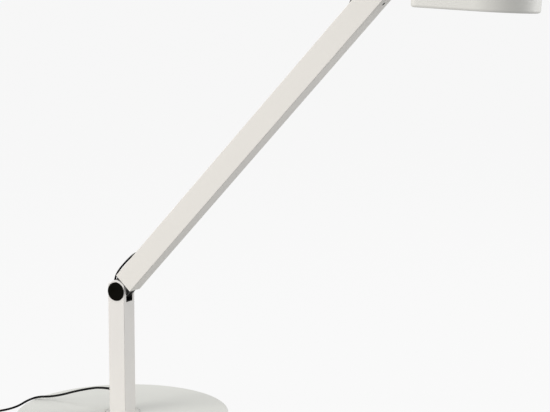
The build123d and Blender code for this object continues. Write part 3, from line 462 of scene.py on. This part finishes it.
def coil_route():
    """Control points of the coil, a little outside the turns that the smooth curve then takes."""
    turns = coil_turns()
    outward = 1 / math.cos(math.pi / COIL_POINTS)
    steps = (len(turns) - 1) * COIL_POINTS + round(COIL_POINTS * COIL_EXIT / 360)
    points = []
    for step in range(steps + 1):
        turn, share = divmod(step / COIL_POINTS, 1.0)
        radius, height = turns[int(turn)]
        after = turns[min(int(turn) + 1, len(turns) - 1)]
        last_climb = int(turn) == len(turns) - 3
        sideways = smooth_step((share - (LAST_SHIFT_AT if last_climb else SHIFT_AT)) / SHIFT_OVER)
        upwards = smooth_step((share - (LAST_CLIMB_AT if last_climb else CLIMB_AT)) / CLIMB_OVER)
        radius += (after[0] - radius) * sideways
        height += (after[1] - height) * upwards
        angle = math.radians(COIL_ENTRY - 360.0 * step / COIL_POINTS)
        around = Vector((math.cos(angle), math.sin(angle), 0)) * radius * outward
        points.append(COIL_CENTRE + around + Vector((0, 0, height)))
    return points


def supply_cord():
    """The whole supply cord: over the base, into its coil and on to the driver."""
    cord = route_curve("supply_cable", CORD_ROUTE + coil_route() + TAIL_ROUTE)
    cord.data.bevel_depth = CORD_DIAMETER / 2
    cord.data.bevel_resolution = 3
    cord.data.use_fill_caps = True
    cord.data.materials.append(material("cable_black"))
    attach(cord, "post")
    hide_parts("supply_cord", "cord_coil", "cord_tail")
    return cord


def cable_tube(name, line, radius, sides=14):
    """Round cable along a line, closed at both ends."""
    mesh = bmesh.new()
    rings = []
    side = Vector((0, 1, 0))
    for i, place in enumerate(line):
        along = (line[min(i + 1, len(line) - 1)] - line[max(i - 1, 0)]).normalized()
        side = (side - along * side.dot(along)).normalized()
        other = along.cross(side)
        rings.append([mesh.verts.new(place + radius * (math.cos(t) * side + math.sin(t) * other))
                      for t in (2 * math.pi * k / sides for k in range(sides))])
    for near, far in zip(rings, rings[1:]):
        for k in range(sides):
            mesh.faces.new((near[k], near[(k + 1) % sides], far[(k + 1) % sides], far[k]))
    mesh.faces.new(list(reversed(rings[0])))
    mesh.faces.new(rings[-1])
    bmesh.ops.recalc_face_normals(mesh, faces=mesh.faces)
    data = bpy.data.meshes.new(name)
    mesh.to_mesh(data)
    mesh.free()
    for face in data.polygons:
        face.use_smooth = True
    piece = bpy.data.objects.new(name, data)
    bpy.context.scene.collection.objects.link(piece)
    piece.data.materials.append(material("cable_black"))
    return piece


def jumper(name, node, fork, arm):
    """Loose lead from a fork's slot, over the pivot, into the arm's top face."""
    line = line_of(fork + arm)
    lead = cable_tube(name, line, LEAD_DIAMETER / 2)
    fork[-1] + (fork[-2] - fork[-1]) * 0.5
    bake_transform(lead)
    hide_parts(node)


def jumper_leads():
    """The two leads that cross the pivots."""
    over_arm = LEAD_OVER_ARM + [LEAD_END]
    fork = [LOWER_PIVOT + POST_ALONG * x + POST_UP * z for x, z in LEAD_IN_FORK]
    arm = [LOWER_PIVOT + ARM_ALONG * x + ARM_UP * z for x, z in over_arm]
    jumper("lower_jumper", "lower_lead", fork, arm)
    fork = [UPPER_PIVOT - HEAD_ALONG * z - HEAD_UP * x for x, z in LEAD_IN_FORK]
    arm = [UPPER_PIVOT - ARM_ALONG * x + ARM_UP * z for x, z in over_arm]
    jumper("upper_jumper", "upper_lead", fork, arm)


# ---- pieces that follow a rule ---------------------------------------------------------------
class Rule(Graph):
    """Geometry Nodes tree with named inputs, baked into one plain mesh."""

    def __init__(self, name, **inputs):
        super().__init__(bpy.data.node_groups.new(name, "GeometryNodeTree"))
        self.name, self.values = name, {}
        self.tree.interface.new_socket("Geometry", in_out="OUTPUT", socket_type="NodeSocketGeometry")
        for label, value in inputs.items():
            kind = "NodeSocketInt" if isinstance(value, int) else "NodeSocketFloat"
            socket = self.tree.interface.new_socket(label, in_out="INPUT", socket_type=kind)
            self.values[socket.identifier] = value
        self.entry = self.tree.nodes.new("NodeGroupInput")
        self.exit = self.tree.nodes.new("NodeGroupOutput")

    def given(self, label):
        """One of the tree's named inputs."""
        return Shade(self, self.entry.outputs[label])

    def point(self, **axes):
        """Vector made of its X, Y and Z."""
        return self.node("ShaderNodeCombineXYZ", {}, axes)

    def sweep(self, path, radius, sides, scale=1.0):
        """Round solid along a path."""
        circle = {"Resolution": sides, "Radius": radius}
        ring = self.node("GeometryNodeCurvePrimitiveCircle", {}, circle)
        swept = {"Curve": path, "Profile Curve": ring, "Scale": scale, "Fill Caps": True}
        return self.node("GeometryNodeCurveToMesh", {}, swept)

    def bake(self, geometry, slot, body, place, along):
        """Mesh of the tree's result, its +Z turned along a direction, riding a body."""
        geometry = self.node("GeometryNodeSetShadeSmooth", {}, {"Geometry": geometry})
        geometry = self.node("GeometryNodeRealizeInstances", {}, {"Geometry": geometry})
        geometry = self.node("GeometryNodeSetMaterial", {},
                             {"Geometry": geometry, "Material": material(slot)})
        self.join(self.exit.inputs[0], geometry)
        piece = bpy.data.objects.new(self.name, bpy.data.meshes.new(self.name))
        bpy.context.scene.collection.objects.link(piece)
        modifier = piece.modifiers.new("rule", "NODES")
        modifier.node_group = self.tree
        for identifier, value in self.values.items():
            modifier[identifier] = value
        layers = bpy.context.evaluated_depsgraph_get()
        mesh = bpy.data.meshes.new_from_object(piece.evaluated_get(layers), depsgraph=layers)
        piece.modifiers.clear()
        turn = along.to_track_quat("Z", "Y").to_matrix().to_4x4()
        mesh.transform(Matrix.Translation(place) @ turn)
        piece.data = mesh
        mesh.name = self.name
        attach(piece, body)
        return piece


def moulded_ribs(name, place, along, length, big, tip, ribs):
    """Raised rings on a strain relief's cone, where it bends with the cable."""
    rule = Rule(name, Length=length, Big=big / 2, Tip=tip / 2, Height=RIB_HEIGHT, Ribs=ribs,
                Samples=RIB_SAMPLES * ribs + 1)
    line = rule.node("GeometryNodeCurvePrimitiveLine", {}, {"End": rule.point(Z=rule.given("Length"))})
    line = rule.node("GeometryNodeResampleCurve", {}, {"Curve": line, "Count": rule.given("Samples")})
    share = rule.node("GeometryNodeSplineParameter")
    wave = rule.maths("SINE", share * rule.given("Ribs") * (2 * math.pi))
    flat_topped = rule.maths("MINIMUM", wave * RIB_STEEPNESS, 1.0)
    cone = rule.given("Big") + (rule.given("Tip") - rule.given("Big")) * share
    profile = cone + rule.given("Height") * flat_topped
    rule.bake(rule.sweep(line, 1.0, RIB_SIDES, profile), "rubber_black", "post", place, along)


def return_spring():
    """Coil spring between the control board and the button."""
    low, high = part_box("button_spring")
    middle = (Vector(low) + Vector(high)) / 2
    foot = middle - HEAD_UP * (SPRING_HEIGHT / 2)
    rule = Rule("return_spring", Height=SPRING_HEIGHT - SPRING_WIRE, Radius=SPRING_RADIUS,
                Turns=SPRING_TURNS, Wire=SPRING_WIRE / 2, Steps=SPRING_STEPS)
    helix = {"Resolution": rule.given("Steps"), "Rotations": rule.given("Turns"),
             "Height": rule.given("Height"), "Start Radius": rule.given("Radius"),
             "End Radius": rule.given("Radius")}
    wire = rule.sweep(rule.node("GeometryNodeCurveSpiral", {}, helix), rule.given("Wire"), WIRE_SIDES)
    spring = rule.bake(wire, "steel", "head", foot + HEAD_UP * (SPRING_WIRE / 2), HEAD_UP)
    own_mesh(spring)
    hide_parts("button_spring")


def strap_stitches():
    """Two rows of stitches over the top of the strap around the coil."""
    low, high = (Vector(corner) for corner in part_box("cord_tie"))
    rule = Rule("tie_stitches", Length=STITCH_LENGTH, Thread=THREAD_RADIUS, Pitch=STITCH_PITCH,
                Count=STITCH_COUNT, Seed=4, Lean=0.12)
    joined = rule.tree.nodes.new("GeometryNodeJoinGeometry")
    for side in (-1, 1):
        start = (side * ROW_SPREAD * (high.x - low.x), -(STITCH_COUNT - 1) / 2 * STITCH_PITCH, 0.0)
        spacing = {"Count": rule.given("Count"), "Start Location": start,
                   "Offset": rule.point(Y=rule.given("Pitch"))}
        row = rule.node("GeometryNodeMeshLine", {}, spacing)
        ball = rule.node("GeometryNodeMeshUVSphere", {}, {"Segments": 12, "Rings": 8, "Radius": 1.0})
        size = rule.point(X=rule.given("Thread"), Y=rule.given("Length") * 0.5, Z=rule.given("Thread"))
        lean = rule.node("FunctionNodeRandomValue", {"data_type": "FLOAT"},
                         {2: rule.given("Lean") * -1, 3: rule.given("Lean"), 8: rule.given("Seed")}, 1)
        stitches = {"Points": row, "Instance": ball, "Scale": size, "Rotation": rule.point(Z=lean)}
        rule.join(joined.inputs[0], rule.node("GeometryNodeInstanceOnPoints", {}, stitches))
    top = Vector(((low.x + high.x) / 2, (low.y + high.y) / 2, high.z - THREAD_SINK))
    rule.bake(Shade(rule, joined.outputs[0]), "tie_fabric", "post", top, POST_UP)


# ---- stage -----------------------------------------------------------------------------------
def aim(azimuth, elevation):
    """Direction from the lamp: azimuth 0 is in front, 90 to the right."""
    a, e = math.radians(azimuth), math.radians(elevation)
    return Vector((math.sin(a) * math.cos(e), -math.cos(a) * math.cos(e), math.sin(e)))


def add_camera():
    """Camera that looks at the lamp from the front right, a little from above."""
    data = bpy.data.cameras.new("camera")
    data.sensor_width = CAMERA_SENSOR
    data.lens = CAMERA_LENS
    data.clip_end = CAMERA_REACH
    camera = bpy.data.objects.new("camera", data)
    bpy.context.scene.collection.objects.link(camera)
    camera.location = CAMERA_PLACE
    camera.rotation_mode = "QUATERNION"
    roll = Quaternion((0, 0, 1), math.radians(CAMERA_ROLL))
    back = aim(CAMERA_AZIMUTH, CAMERA_ELEVATION)
    camera.rotation_quaternion = (-back).to_track_quat("-Z", "Y") @ roll
    bpy.context.scene.camera = camera


def softbox(name, azimuth, elevation, distance, size, power, colour=(1, 1, 1)):
    """Square soft light that faces the lamp."""
    data = bpy.data.lights.new(name, "AREA")
    data.size, data.energy, data.color = size, power, colour
    light = bpy.data.objects.new(name, data)
    bpy.context.scene.collection.objects.link(light)
    away = aim(azimuth, elevation)
    light.location = LAMP_MIDDLE + away * distance
    light.rotation_mode = "QUATERNION"
    light.rotation_quaternion = (-away).to_track_quat("-Z", "Y")
    light.visible_camera = False


def add_lights():
    """Even room light, a warm key from the left, one light above and one behind on the right."""
    world = bpy.data.worlds.new("studio")
    bpy.context.scene.world = world
    world.use_nodes = True
    background = world.node_tree.nodes["Background"]
    background.inputs["Color"].default_value = (1.0, 1.0, 0.99, 1.0)
    background.inputs["Strength"].default_value = ROOM_LIGHT
    softbox("key", -36, 11, 2.6, 1.5, 50, (1.0, 0.975, 0.945))
    softbox("overhead", 20, 82, 2.2, 1.8, 25)
    softbox("behind_right", 132, 14, 2.3, 1.6, 31)
    bpy.context.scene.view_settings.view_transform = "Standard"


def add_floor():
    """Wide pale paper, brighter to the camera than in the light it throws."""
    mesh = bmesh.new()
    bmesh.ops.create_grid(mesh, x_segments=2, y_segments=2, size=FLOOR_SIZE / 2)
    data = bpy.data.meshes.new("floor")
    mesh.to_mesh(data)
    mesh.free()
    floor = bpy.data.objects.new("floor", data)
    bpy.context.scene.collection.objects.link(floor)
    floor.location.z = -FLOOR_DROP
    paper = Finish("pale_paper", Roughness=0.9, Specular_IOR_Level=0.0, Emission_Strength=1.0)
    paper.put("Base Color", (0.03, 0.03, 0.03, 1.0))
    camera_ray = paper.node("ShaderNodeLightPath")
    paper.put("Emission Color", paper.mix([FLOOR_GLOW] * 3, [FLOOR_SEEN] * 3, camera_ray))
    data.materials.append(paper.material)


# ---- build -----------------------------------------------------------------------------------
add_camera()
add_lights()
add_floor()
finish_cad_nodes()
cord = supply_cord()
CORD_LENGTH = length_of(line_of(CORD_ROUTE + coil_route() + TAIL_ROUTE))
PLUG_ROOT = Vector(TAIL_ROUTE[-1]) - Vector((PLUG_CONE[0], 0, 0))
moulded_ribs("gland_ribs", Vector(GLAND_FACE), Vector((-1, 0, 0)), *GLAND_CONE, GLAND_RIBS)
moulded_ribs("plug_ribs", PLUG_ROOT, Vector((1, 0, 0)), *PLUG_CONE, PLUG_RIBS)
strap_stitches()
return_spring()
jumper_leads()
